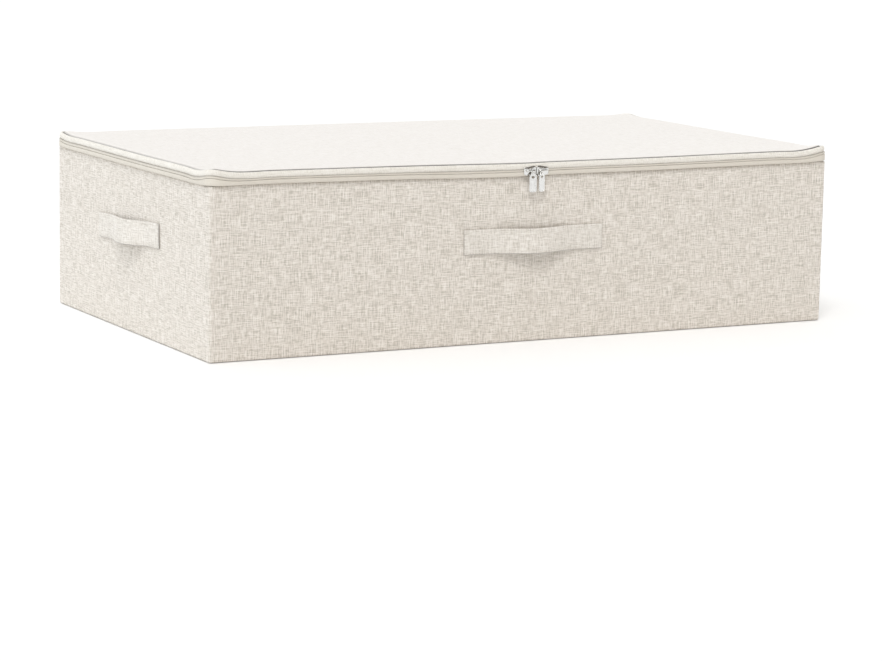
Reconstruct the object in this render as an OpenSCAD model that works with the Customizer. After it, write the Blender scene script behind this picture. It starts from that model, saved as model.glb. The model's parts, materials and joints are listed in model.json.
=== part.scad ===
// Under-bed storage box: linen-look fabric sewn over stiffening boards, with a zipped flap lid,
// two zip sliders, three strap handles and a loose base insert.
// Millimetres. +X runs along the width, the front faces -Y, +Z is up, and the origin is the
// centre of the underside. The lid is modelled closed and the sliders meet at the front centre.

/* [Box] */
// Overall width across the lid piping
box_w = 700; // [560:10:900]
// Overall depth across the lid piping
box_d = 400; // [340:10:500]
// Overall height to the top of the lid piping
box_h = 180; // [150:5:220]
// Corner radius of the lid, its piping and the zip band
band_r = 12; // [11:1:16]
// How far the zip band stands out from the walls
band_proud = 2; // [1.5:0.5:3]
// Outer corner radius of the walls
wall_r = 5; // [4.5:0.5:7]

/* [Walls] */
// Thickness of the linen-look cover
cover_t = 0.8; // [0.6:0.1:1.2]
// Thickness of the wall boards
board_t = 3; // [2:0.5:4]
// Thickness of the non-woven lining
lining_t = 0.6; // [0.4:0.1:1]
// Width of the soft fold between the two boards of a long wall or of the lid
fold_gap = 4; // [2:1:8]

/* [Lid] */
// Diameter of the piping round the lid
piping_d = 4.5; // [3.5:0.5:5]
// Thickness of the lid boards
lid_board_t = 2.5; // [2:0.5:3]
// How far the lid's top cloth lies below the top of the piping
lid_recess = 1.2; // [0.8:0.2:1.6]

/* [Zip] */
// Height of the zip band below the piping
band_h = 9; // [8.5:0.5:11]
// Thickness of the zip tapes
tape_t = 0.9; // [0.7:0.1:1]
// Gap between the two tapes, where the slider's wedge runs
zip_gap = 1.6; // [1.5:0.1:2]
// Height of one row of the zip's coil
coil_h = 1.6; // [1.2:0.2:1.8]
// Thickness of the zip's coil
coil_t = 1.4; // [1:0.1:1.5]
// Length of the back of the band where the zip ends and the cloth hinge begins
zip_end_inset = 30; // [25:5:60]

/* [Sliders] */
// Length of a zip slider
slider_l = 13.5; // [12:0.5:16]
// Height of the slider's wide front end
slider_h = 10.8; // [10:0.2:11]
// Thickness of the slider's plates
plate_t = 1.2; // [1:0.1:1.4]
// Radius of the crown bar that carries the pull
crown_r = 0.7; // [0.6:0.1:0.8]
// Length of the pull below the crown bar
pull_l = 21; // [16:1:26]
// Width of the pull
pull_w = 8.4; // [7:0.2:9]
// Thickness of the pull
pull_t = 1.3; // [1:0.1:1.5]
// Distance of a pull's middle from the centre line, along its crown bar
pull_x = 5; // [4.8:0.1:7]

/* [Handles] */
// Length of a strap handle, end to end
handle_l = 157; // [130:1:180]
// Width of the strap
strap_w = 25; // [20:1:35]
// Thickness of the strap
strap_t = 2.4; // [1.5:0.1:3]
// Length of the end tab that is sewn to the wall
tab_l = 30; // [20:1:35]
// Depth of the finger space behind the strap
finger_gap = 10; // [8:1:20]
// Height of the middle of the strap above the underside
handle_z = 102.5; // [80:0.5:110]

/* [Base insert] */
// Clearance between the insert and the lining
insert_clear = 1.6; // [1:0.2:3]
// Thickness of the insert's two half boards
insert_board_t = 2; // [1.5:0.5:3]
// Thickness of the cloth round the insert
insert_cloth_t = 0.5; // [0.4:0.1:0.8]
// Width of the stitched rim round the insert's boards
insert_rim = 6; // [4:1:10]

/* [Hidden] */
$fn = 64;

linen = [0.86, 0.83, 0.78];
linen_light = [0.93, 0.91, 0.87];
tape_colour = [0.72, 0.67, 0.60];
board_colour = [0.66, 0.60, 0.52];
lining_colour = [0.90, 0.89, 0.86];
chrome = [0.80, 0.80, 0.82];

// Walls
wall_w = box_w - 2 * band_proud;
wall_d = box_d - 2 * band_proud;
wall_t = cover_t + board_t + lining_t;
cavity_w = wall_w - 2 * wall_t;
cavity_d = wall_d - 2 * wall_t;
bottom_t = cover_t;
floor_z = bottom_t + lining_t;
corner_gap = 0.8;

// Band, from the walls' top edge up to the piping
piping_r = piping_d / 2;
band_top = box_h - piping_d;
band_bottom = band_top - band_h;
zip_z = band_bottom + band_h / 2;
flange_t = 0.6;
lower_edge = zip_z - zip_gap / 2;
upper_edge = zip_z + zip_gap / 2;
hinge_half = box_w / 2 - zip_end_inset;
lid_top = box_h - lid_recess;
lid_inset = piping_d + 0.2;
lining_inset = 9;
strip_gap = 0.2;

// Sliders: measured from the outer face of the tapes, towards the front
run_clear = 0.35;
nose_gap = 0.25;
tail_h = slider_h * 0.78;
crown_stand = 2.2;
crown_inset = 2.4;
plate_front = run_clear + plate_t;
bar_y = plate_front + crown_stand;
bar_mid = nose_gap + slider_l / 2;
inner_plate_low = band_bottom + flange_t + 0.4;
inner_plate_high = band_top - flange_t - 0.4;
wedge_h = zip_gap - 0.6;
wedge_l = 3.2;
eye_r = crown_r + 0.4;
eye_wall = 0.8;
eye_l = 3.2;

// Handles
bow_half = handle_l / 2 - tab_l;
bow_r = (bow_half * bow_half + finger_gap * finger_gap) / (2 * finger_gap);

// Base insert
insert_w = cavity_w - 2 * insert_clear;
insert_d = cavity_d - 2 * insert_clear;
insert_z = floor_z + 0.2;
insert_r = 6;
insert_fold = 6;
insert_board_w = insert_w / 2 - insert_rim - insert_fold / 2;

// ---------- shapes used by several pieces ----------

// Rectangle with round corners, centred
module rounded_outline(w, d, r) {
    square([w - 2 * r, d], center = true);
    square([w, d - 2 * r], center = true);
    for (x = [-1, 1], y = [-1, 1])
        translate([x * (w / 2 - r), y * (d / 2 - r)]) circle(r);
}

// Outline of the band, moved in from its outer face
module band_outline(inset) {
    rounded_outline(box_w - 2 * inset, box_d - 2 * inset, band_r - min(inset, band_r - 2));
}

// Closed ring of the band between two insets
module band_ring(inset_out, inset_in, z_low, z_high) {
    translate([0, 0, z_low])
        linear_extrude(z_high - z_low)
            difference() {
                band_outline(inset_out);
                band_outline(inset_in);
            }
}

// The middle of the back edge, where the cloth hinge takes the zip's place
module hinge_zone() {
    translate([-hinge_half, box_d / 2 - 15, 0]) cube([2 * hinge_half, 20, box_h + 10]);
}

// One side of the wall cover, mitred at the corners; half is its half length, reach its distance out
module cover_panel(half, reach) {
    translate([0, 0, bottom_t])
        linear_extrude(band_bottom - bottom_t)
            intersection() {
                difference() {
                    rounded_outline(2 * half, 2 * reach, wall_r);
                    rounded_outline(2 * (half - cover_t), 2 * (reach - cover_t), wall_r - cover_t);
                }
                polygon([
                    [-half - 1, -reach - 1], [half + 1, -reach - 1],
                    [half - 20, -reach + 20], [-half + 20, -reach + 20]
                ]);
            }
}

// Flat upright panel: x_low to x_high along the wall, its outer face at y = -reach
module upright(x_low, x_high, reach, thick, z_low, z_high) {
    translate([x_low, -reach, z_low]) cube([x_high - x_low, thick, z_high - z_low]);
}

// Wall board behind a cover whose outer face is at y = -reach
module wall_board(x_low, x_high, reach) {
    upright(x_low, x_high, reach - cover_t, board_t, floor_z, band_bottom - 1);
}

// Strap handle standing out from a wall face at y = -reach
module strap_handle(reach) {
    translate([0, -reach, handle_z - strap_w / 2])
        linear_extrude(strap_w) {
            for (side = [-1, 1])
                translate([side * (bow_half + tab_l / 2), -strap_t / 2])
                    square([tab_l, strap_t], center = true);
            intersection() {
                translate([-bow_half, -finger_gap - strap_t - 1])
                    square([2 * bow_half, finger_gap + strap_t + 1]);
                translate([0, bow_r - finger_gap])
                    difference() {
                        circle(bow_r + strap_t, $fn = 128);
                        circle(bow_r, $fn = 128);
                    }
            }
        }
}

// Bar along X with its middle at the origin
module bar_x(r, l) {
    rotate([0, 90, 0]) cylinder(r = r, h = l, center = true);
}

// Half of the lid, in plan, on the +X side
module lid_half(inset) {
    intersection() {
        band_outline(inset);
        translate([fold_gap / 2, -box_d]) square([box_w, 2 * box_d]);
    }
}

// ---------- walls and bottom ----------

module bottom_panel() {
    color(linen) linear_extrude(bottom_t) rounded_outline(wall_w, wall_d, wall_r);
}

module front_cover() {
    color(linen) cover_panel(wall_w / 2, wall_d / 2);
}

module back_cover() {
    color(linen) rotate([0, 0, 180]) cover_panel(wall_w / 2, wall_d / 2);
}

module left_cover() {
    color(linen) rotate([0, 0, -90]) cover_panel(wall_d / 2, wall_w / 2);
}

module right_cover() {
    color(linen) rotate([0, 0, 90]) cover_panel(wall_d / 2, wall_w / 2);
}

module long_wall_board() {
    wall_board(fold_gap / 2, wall_w / 2 - cover_t - board_t - corner_gap, wall_d / 2);
}

module front_board_right() {
    color(board_colour) long_wall_board();
}

module front_board_left() {
    color(board_colour) mirror([1, 0, 0]) long_wall_board();
}

module back_board_left() {
    color(board_colour) rotate([0, 0, 180]) long_wall_board();
}

module back_board_right() {
    color(board_colour) mirror([0, 1, 0]) long_wall_board();
}

module short_wall_board() {
    half = wall_d / 2 - cover_t - board_t - corner_gap;
    wall_board(-half, half, wall_w / 2);
}

module left_board() {
    color(board_colour) rotate([0, 0, -90]) short_wall_board();
}

module right_board() {
    color(board_colour) rotate([0, 0, 90]) short_wall_board();
}

module bottom_lining() {
    color(lining_colour)
        translate([-cavity_w / 2, -cavity_d / 2, bottom_t])
            cube([cavity_w, cavity_d, lining_t]);
}

module long_lining() {
    upright(-cavity_w / 2, cavity_w / 2, cavity_d / 2 + lining_t, lining_t, bottom_t, band_bottom);
}

module short_lining() {
    upright(-cavity_d / 2, cavity_d / 2, cavity_w / 2 + lining_t, lining_t, bottom_t, band_bottom);
}

module front_lining() {
    color(lining_colour) long_lining();
}

module back_lining() {
    color(lining_colour) rotate([0, 0, 180]) long_lining();
}

module left_lining() {
    color(lining_colour) rotate([0, 0, -90]) short_lining();
}

module right_lining() {
    color(lining_colour) rotate([0, 0, 90]) short_lining();
}

// ---------- band on the walls ----------

// Upright edge of the lower band with the seam allowance that closes the walls' top
module lower_band() {
    band_ring(0, tape_t, band_bottom, lower_edge);
    band_ring(tape_t, band_proud + wall_t, band_bottom, band_bottom + flange_t);
}

module zip_tape_lower() {
    color(tape_colour) difference() {
        lower_band();
        hinge_zone();
    }
}

module zip_coil_lower() {
    color(tape_colour) difference() {
        band_ring(tape_t, tape_t + coil_t, lower_edge - coil_h, lower_edge);
        hinge_zone();
    }
}

module hinge_strip_lower() {
    color(linen) intersection() {
        union() {
            lower_band();
            band_ring(0, tape_t, lower_edge, zip_z - strip_gap / 2);
        }
        hinge_zone();
    }
}

// ---------- handles ----------

module front_handle() {
    color(linen_light) strap_handle(wall_d / 2);
}

module left_handle() {
    color(linen_light) rotate([0, 0, -90]) strap_handle(wall_w / 2);
}

module right_handle() {
    color(linen_light) rotate([0, 0, 90]) strap_handle(wall_w / 2);
}

// ---------- lid ----------

module lid_cover() {
    color(linen_light)
        translate([0, 0, band_top + lid_board_t])
            linear_extrude(lid_top - band_top - lid_board_t) band_outline(lid_inset);
}

module lid_board_right() {
    color(board_colour)
        translate([0, 0, band_top]) linear_extrude(lid_board_t) lid_half(lid_inset);
}

module lid_board_left() {
    mirror([1, 0, 0]) lid_board_right();
}

module lid_lining() {
    color(lining_colour)
        translate([0, 0, band_top - flange_t]) linear_extrude(flange_t) band_outline(lining_inset);
}

// Round cord sewn into the lid's edge: four straight runs and four quarter bends
module lid_piping() {
    run_x = box_w - 2 * band_r;
    run_y = box_d - 2 * band_r;
    bend_r = band_r - piping_r;
    color(linen_light) translate([0, 0, box_h - piping_r]) {
        for (side = [-1, 1]) {
            translate([0, side * (box_d / 2 - piping_r), 0]) bar_x(piping_r, run_x);
            translate([side * (box_w / 2 - piping_r), 0, 0]) rotate([0, 0, 90]) bar_x(piping_r, run_y);
        }
        for (quarter = [0:3])
            translate([
                (quarter == 0 || quarter == 3 ? 1 : -1) * run_x / 2,
                (quarter < 2 ? 1 : -1) * run_y / 2, 0
            ])
                rotate([0, 0, 90 * quarter])
                    rotate_extrude(angle = 90) translate([bend_r, 0]) circle(piping_r, $fn = 32);
    }
}

// Upright edge of the upper band with the seam allowance under the lid
module upper_band() {
    band_ring(0, tape_t, upper_edge, band_top);
    band_ring(tape_t, lining_inset, band_top - flange_t, band_top);
}

module zip_tape_upper() {
    color(tape_colour) difference() {
        upper_band();
        hinge_zone();
    }
}

module zip_coil_upper() {
    color(tape_colour) difference() {
        band_ring(tape_t, tape_t + coil_t, upper_edge, upper_edge + coil_h);
        hinge_zone();
    }
}

module hinge_strip_upper() {
    color(linen) intersection() {
        union() {
            upper_band();
            band_ring(0, tape_t, zip_z + strip_gap / 2, upper_edge);
        }
        hinge_zone();
    }
}

// ---------- sliders and pulls ----------

// The right-hand slider, its nose at the centre line and its tail towards +X
module slider() {
    nose = nose_gap;
    tail = nose_gap + slider_l;
    waist = nose_gap + slider_l * 0.45;
    color(chrome) translate([0, -box_d / 2, zip_z]) {
        // outer plate, widest at the nose
        translate([0, -run_clear, 0]) rotate([90, 0, 0])
            linear_extrude(plate_t)
                polygon([
                    [nose, -slider_h * 0.32], [nose + 2, -slider_h / 2], [waist, -slider_h / 2],
                    [tail - 1, -tail_h / 2], [tail, -tail_h * 0.38],
                    [tail, tail_h * 0.38], [tail - 1, tail_h / 2],
                    [waist, slider_h / 2], [nose + 2, slider_h / 2], [nose, slider_h * 0.32]
                ]);
        // wedge that parts the two rows of the coil
        translate([nose, -run_clear, -wedge_h / 2])
            cube([wedge_l, run_clear + tape_t + coil_t + run_clear, wedge_h]);
        // inner plate behind the coil
        translate([nose, tape_t + coil_t + run_clear, inner_plate_low - zip_z])
            cube([slider_l, plate_t, inner_plate_high - inner_plate_low]);
        // crown: a bar on two feet
        translate([bar_mid, -bar_y, 0]) bar_x(crown_r, slider_l - 2 * crown_inset);
        for (x = [nose + crown_inset, tail - crown_inset]) {
            translate([x, -plate_front, 0]) rotate([90, 0, 0]) cylinder(r = crown_r, h = crown_stand);
            translate([x, -bar_y, 0]) sphere(crown_r);
        }
    }
}

module slider_right() {
    slider();
}

module slider_left() {
    mirror([1, 0, 0]) slider();
}

// Pull that hangs from the crown bar of the right-hand slider
module pull() {
    window_w = pull_w * 0.42;
    window_top = eye_r + eye_wall + 0.6;
    window_h = 2.6;
    corner = 2;
    color(chrome) translate([pull_x, -box_d / 2 - bar_y, zip_z]) {
        difference() {
            bar_x(eye_r + eye_wall, eye_l);
            bar_x(eye_r, eye_l + 1);
        }
        rotate([90, 0, 0]) translate([0, 0, -pull_t / 2])
            linear_extrude(pull_t) difference() {
                union() {
                    translate([-pull_w / 2, -pull_l + corner])
                        square([pull_w, pull_l - corner - eye_r - eye_wall / 2]);
                    translate([-pull_w / 2 + corner, -pull_l]) square([pull_w - 2 * corner, corner + 1]);
                    for (side = [-1, 1])
                        translate([side * (pull_w / 2 - corner), -pull_l + corner]) circle(corner);
                }
                translate([-window_w / 2, -window_top - window_h]) square([window_w, window_h]);
            }
    }
}

module pull_right() {
    pull();
}

module pull_left() {
    mirror([1, 0, 0]) pull();
}

// ---------- base insert ----------

// Block in the plan shape of the insert's right-hand board
module insert_block(height) {
    translate([insert_fold / 2, -insert_d / 2 + insert_rim, 0])
        cube([insert_board_w, insert_d - 2 * insert_rim, height]);
}

// Upper cloth, which comes down round both boards and between them
module insert_cloth_top() {
    color(lining_colour) translate([0, 0, insert_z + insert_cloth_t]) difference() {
        linear_extrude(insert_board_t + insert_cloth_t) rounded_outline(insert_w, insert_d, insert_r);
        for (side = [0, 1]) mirror([side, 0, 0]) translate([0, 0, -1]) insert_block(insert_board_t + 1);
    }
}

module insert_cloth_bottom() {
    color(lining_colour)
        translate([0, 0, insert_z])
            linear_extrude(insert_cloth_t) rounded_outline(insert_w, insert_d, insert_r);
}

module insert_board_right() {
    color(board_colour) translate([0, 0, insert_z + insert_cloth_t]) insert_block(insert_board_t);
}

module insert_board_left() {
    mirror([1, 0, 0]) insert_board_right();
}

// ---------- nodes ----------

bottom_panel();
front_cover();
back_cover();
left_cover();
right_cover();
front_board_left();
front_board_right();
back_board_left();
back_board_right();
left_board();
right_board();
bottom_lining();
front_lining();
back_lining();
left_lining();
right_lining();
zip_tape_lower();
zip_coil_lower();
hinge_strip_lower();
front_handle();
left_handle();
right_handle();
lid_cover();
lid_board_left();
lid_board_right();
lid_lining();
lid_piping();
zip_tape_upper();
zip_coil_upper();
hinge_strip_upper();
slider_left();
slider_right();
pull_left();
pull_right();
insert_cloth_top();
insert_cloth_bottom();
insert_board_left();
insert_board_right();
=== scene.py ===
"""Looks of a zip-lid under-bed box: linen-look cloth over boards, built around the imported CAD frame."""

import json
import math

import bmesh
import bpy
from mathutils import Matrix, Vector, noise


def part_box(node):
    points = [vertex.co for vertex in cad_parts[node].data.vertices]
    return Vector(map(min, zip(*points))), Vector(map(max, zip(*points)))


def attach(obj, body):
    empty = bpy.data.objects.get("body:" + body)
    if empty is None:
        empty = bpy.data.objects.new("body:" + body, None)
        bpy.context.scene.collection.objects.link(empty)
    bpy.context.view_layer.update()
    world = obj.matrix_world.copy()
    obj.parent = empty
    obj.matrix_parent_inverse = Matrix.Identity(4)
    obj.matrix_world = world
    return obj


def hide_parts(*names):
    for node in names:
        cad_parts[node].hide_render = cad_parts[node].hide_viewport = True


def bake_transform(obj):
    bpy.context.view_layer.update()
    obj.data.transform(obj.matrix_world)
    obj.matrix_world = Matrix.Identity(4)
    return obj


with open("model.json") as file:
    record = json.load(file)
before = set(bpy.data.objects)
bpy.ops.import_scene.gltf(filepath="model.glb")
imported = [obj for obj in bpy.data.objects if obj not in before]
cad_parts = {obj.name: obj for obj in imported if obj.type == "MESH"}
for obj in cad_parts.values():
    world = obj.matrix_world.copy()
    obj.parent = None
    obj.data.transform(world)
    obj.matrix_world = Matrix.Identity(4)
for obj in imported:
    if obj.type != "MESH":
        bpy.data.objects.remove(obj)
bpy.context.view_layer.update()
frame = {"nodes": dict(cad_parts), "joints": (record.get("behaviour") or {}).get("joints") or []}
scene = bpy.context.scene
scene.view_settings.view_transform = "Standard"
MM = 0.001
TOO_CLOSE = 2e-4

# ---- sizes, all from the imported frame

WALL_HX = -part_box("left_cover")[0].x
WALL_HY = -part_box("front_cover")[0].y
WALL_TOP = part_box("front_cover")[1].z
WALL_R = 3 * MM
BAND_HX = -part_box("zip_tape_lower")[0].x
BAND_HY = -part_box("zip_tape_lower")[0].y
BAND_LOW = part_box("zip_tape_lower")[0].z
BAND_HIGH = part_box("zip_tape_upper")[1].z
BAND_R = 12 * MM
ZIP_Z = (BAND_LOW + BAND_HIGH) / 2
HINGE_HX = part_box("hinge_strip_lower")[1].x
LINING_HX = -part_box("left_lining")[1].x
LINING_HY = -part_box("front_lining")[1].y
FLOOR_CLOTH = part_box("bottom_panel")[1].z
LID_LOW, LID_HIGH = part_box("lid_cover")[0].z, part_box("lid_cover")[1].z
LID_HX, LID_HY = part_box("lid_cover")[1].x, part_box("lid_cover")[1].y
LID_R = 7.3 * MM
PIPING_R = (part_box("lid_piping")[1].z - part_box("lid_piping")[0].z) / 2
PIPING_TALL = PIPING_R + 1 * MM
PIPING_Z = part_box("lid_piping")[1].z - PIPING_TALL


# ---- shape helpers


def ease(a, b, x):
    """0 before a, 1 after b, smooth between."""
    t = min(1.0, max(0.0, (x - a) / (b - a)))
    return t * t * (3 - 2 * t)


def bell(x, width):
    """1 at 0, falling to 0 on both sides."""
    return math.exp(-((x / width) ** 2))


def steps(low, high, step):
    """Even values from low to high, no further apart than the step."""
    n = max(1, math.ceil((high - low) / step))
    return [low + (high - low) * k / n for k in range(n + 1)]


def thin(values):
    """The values in order, without any that is too close to the one before."""
    out = []
    for value in sorted(values):
        if not out or value - out[-1] > TOO_CLOSE:
            out.append(value)
    return out


def scaled(points, low=0.0):
    """Profile points given in millimetres, outward and above low."""
    return [(out * MM, low + z * MM) for out, z in points]


def lengths(points):
    """The distance along a line of points, at each of them."""
    found = [0.0]
    for (x1, y1), (x2, y2) in zip(points, points[1:]):
        found.append(found[-1] + math.hypot(x2 - x1, y2 - y1))
    return found


def wave(x, y, seed):
    """Smooth unevenness from -1 to 1."""
    return noise.noise(Vector((x, y, seed)))


class Ring:
    """A rounded rectangle seen from above, run anticlockwise from the middle of the back."""

    def __init__(self, hx, hy, r):
        self.hx, self.hy, self.r = hx, hy, r
        self.flat_x, self.flat_y, self.arc = hx - r, hy - r, math.pi * r / 2
        side, end = [self.arc, 2 * self.flat_y, self.arc], 2 * self.flat_x
        self.runs = [self.flat_x, *side, end, *side, self.flat_x]
        self.ends = [sum(self.runs[: i + 1]) for i in range(9)]
        self.length = self.ends[-1]
        self.corners = [self.ends[i] - self.arc / 2 for i in (1, 3, 5, 7)]

    def front(self, x):
        return self.ends[3] + self.flat_x + x

    def at(self, s):
        """(point, outward normal) at the distance s along the ring."""
        s %= self.length
        i = next(k for k in range(9) if s <= self.ends[k] + 1e-12)
        d = s - (self.ends[i] - self.runs[i])
        if i % 2:
            cx = -self.flat_x if i in (1, 3) else self.flat_x
            cy = self.flat_y if i in (1, 7) else -self.flat_y
            angle = math.pi / 2 * (i + 1) / 2 + d / self.r
            n = Vector((math.cos(angle), math.sin(angle), 0))
            return Vector((cx, cy, 0)) + n * self.r, n
        x, y, n = {
            0: (-d, self.hy, (0, 1, 0)),
            2: (-self.hx, self.flat_y - d, (-1, 0, 0)),
            4: (-self.flat_x + d, -self.hy, (0, -1, 0)),
            6: (self.hx, -self.flat_y + d, (1, 0, 0)),
            8: (self.flat_x - d, self.hy, (0, 1, 0)),
        }[i]
        return Vector((x, y, 0)), Vector(n)

    def stations(self, start, end, step, bend=8, extra=()):
        found = {start, end, *(e for e in extra if start < e < end)}
        for i, run in enumerate(self.runs):
            n = bend if i % 2 else max(1, math.ceil(run / step))
            found |= {self.ends[i] - run + run * k / n for k in range(n + 1)}
        inner = [s for s in found if start + TOO_CLOSE < s < end - TOO_CLOSE]
        return thin([start, *inner, end])


wall_ring = Ring(WALL_HX, WALL_HY, WALL_R)
band_ring = Ring(BAND_HX, BAND_HY, BAND_R)
lining_ring = Ring(LINING_HX, LINING_HY, 3 * MM)


def dip(x, y):
    """How far the lid and the band stand above straight; their front edge sags between its corners."""
    sag = 0.8 - 1.7 * max(0.0, 1 - (x / BAND_HX) ** 2) ** 1.5
    step = 0.3 * math.tanh((x - 5 * MM) / (14 * MM)) * bell(x, 90 * MM)
    return (sag + step) * (1 - ease(-0.18, -0.03, y)) * MM


def pinch(x, y):
    """1 at the box's upright corners, 0 away from them."""
    dx, dy = abs(x) - (BAND_HX - 4 * MM), abs(y) - (BAND_HY - 4 * MM)
    away = math.hypot(dx, dy)
    return (bell(away, 14 * MM) - 0.2 * bell(away - 36 * MM, 15 * MM)) * (1.0 if y < 0 else 0.6)


def lift(x, y):
    """The front wall's top edge is pulled up a little, left of the middle."""
    return 1.4 * MM * (1 - ease(-0.18, -0.10, y)) * ease(-0.345, -0.31, x) * (1 - ease(-0.17, -0.05, x))


def press(x, y):
    """The lid's front edge is pressed down a little, right of the middle."""
    return 1.2 * MM * (1 - ease(-0.18, -0.10, y)) * ease(-0.15, 0.02, x) * (1 - ease(0.30, 0.345, x))


def settle(x, y, z):
    """Height of a band or lid point after the sag and the pinched corners."""
    share = ease(BAND_LOW - 1 * MM, ZIP_Z, z) - 0.25 * ease(ZIP_Z, BAND_HIGH, z)
    upper = ease(ZIP_Z, BAND_HIGH, z)
    sag = dip(x, y) + (0.7 + 3.0 * share) * pinch(x, y) * MM
    return z + sag + (1 - upper) * lift(x, y) - upper * press(x, y)


def settle_wall(x, y, z):
    """Height of a wall point: the same, from nothing low on the wall to all of it at the top."""
    return z + (dip(x, y) + 0.6 * pinch(x, y) * MM + lift(x, y)) * ease(0.09, WALL_TOP, z)


def inset_of(x, y, hx, hy, r):
    """Distance in from the edge of a rounded rectangle."""
    dx, dy = abs(x) - (hx - r), abs(y) - (hy - r)
    return r - math.hypot(dx, dy) if dx > 0 and dy > 0 else min(hx - abs(x), hy - abs(y))


def piece(name, verts, faces, uvs, material, painted_shade=None):
    """A mesh object with the map Cloth, in metres, which the weaves follow."""
    mesh = bpy.data.meshes.new(name)
    mesh.from_pydata([tuple(v) for v in verts], [], faces)
    layer = mesh.uv_layers.new(name="Cloth")
    layer.data.foreach_set("uv", [c for face in uvs for uv in face for c in uv])
    mesh.polygons.foreach_set("use_smooth", [True] * len(mesh.polygons))
    # each point's painted shade value is stored as a mesh attribute; it darkens the cloth's colour where
    # shade falls at seams, in grooves and under edges
    if painted_shade is not None:
        mesh.attributes.new("Seam", "FLOAT", "POINT").data.foreach_set("value", painted_shade)
    mesh.materials.append(material)
    obj = bpy.data.objects.new(name, mesh)
    scene.collection.objects.link(obj)
    return obj


def lattice(rows, us, vs, close_u=False, close_v=False):
    """Faces and their map corners for a lattice of points, rows[i][j].
    us and vs are the map's values, with one more entry where the lattice closes."""
    ni, nj = len(rows), len(rows[0])
    faces, uvs = [], []
    for i in range(ni if close_u else ni - 1):
        for j in range(nj if close_v else nj - 1):
            i2, j2 = (i + 1) % ni, (j + 1) % nj
            faces.append([i * nj + j, i2 * nj + j, i2 * nj + j2, i * nj + j2])
            uvs.append([(us[i], vs[j]), (us[i + 1], vs[j]), (us[i + 1], vs[j + 1]), (us[i], vs[j + 1])])
    return faces, uvs


def end_caps(section, count):
    """Faces and map corners that close both ends of a lattice with count rows of a closed section."""
    n = len(section)
    last = (count - 1) * n
    return [list(range(n)), list(range(last + n - 1, last - 1, -1))], [list(section), list(section[::-1])]


def sweep(name, ring, stations, profile, shape, material, closed=False, whole=False, painted_shade=None, flip=False):
    """A profile of (outward, height) points run along a ring. shape(s, x, y, out, z, j) gives the final
    (out, z). The profile may be closed, and the sweep may go round the whole ring."""
    rows, shade = [], []
    for s in stations:
        p, n = ring.at(s)
        row = []
        for j, (out, z) in enumerate(profile):
            o2, z2 = shape(s, p.x + n.x * out, p.y + n.y * out, out, z, j)
            row.append((p.x + n.x * o2, p.y + n.y * o2, z2))
            # each profile point's painted shade value, repeated along the sweep
            shade.append(painted_shade[j] if painted_shade else 0.0)
        rows.append(row)
    vs = lengths(profile + profile[:1] if closed else profile)
    us = list(stations) + ([ring.length] if whole else [])
    faces, uvs = lattice(rows, us, vs, whole, closed)
    if closed and not whole:
        cap_faces, cap_uvs = end_caps(profile, len(rows))
        faces += cap_faces
        uvs += cap_uvs
    if flip:
        faces, uvs = [f[::-1] for f in faces], [u[::-1] for u in uvs]
    return piece(name, [v for row in rows for v in row], faces, uvs, material, shade)


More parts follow.
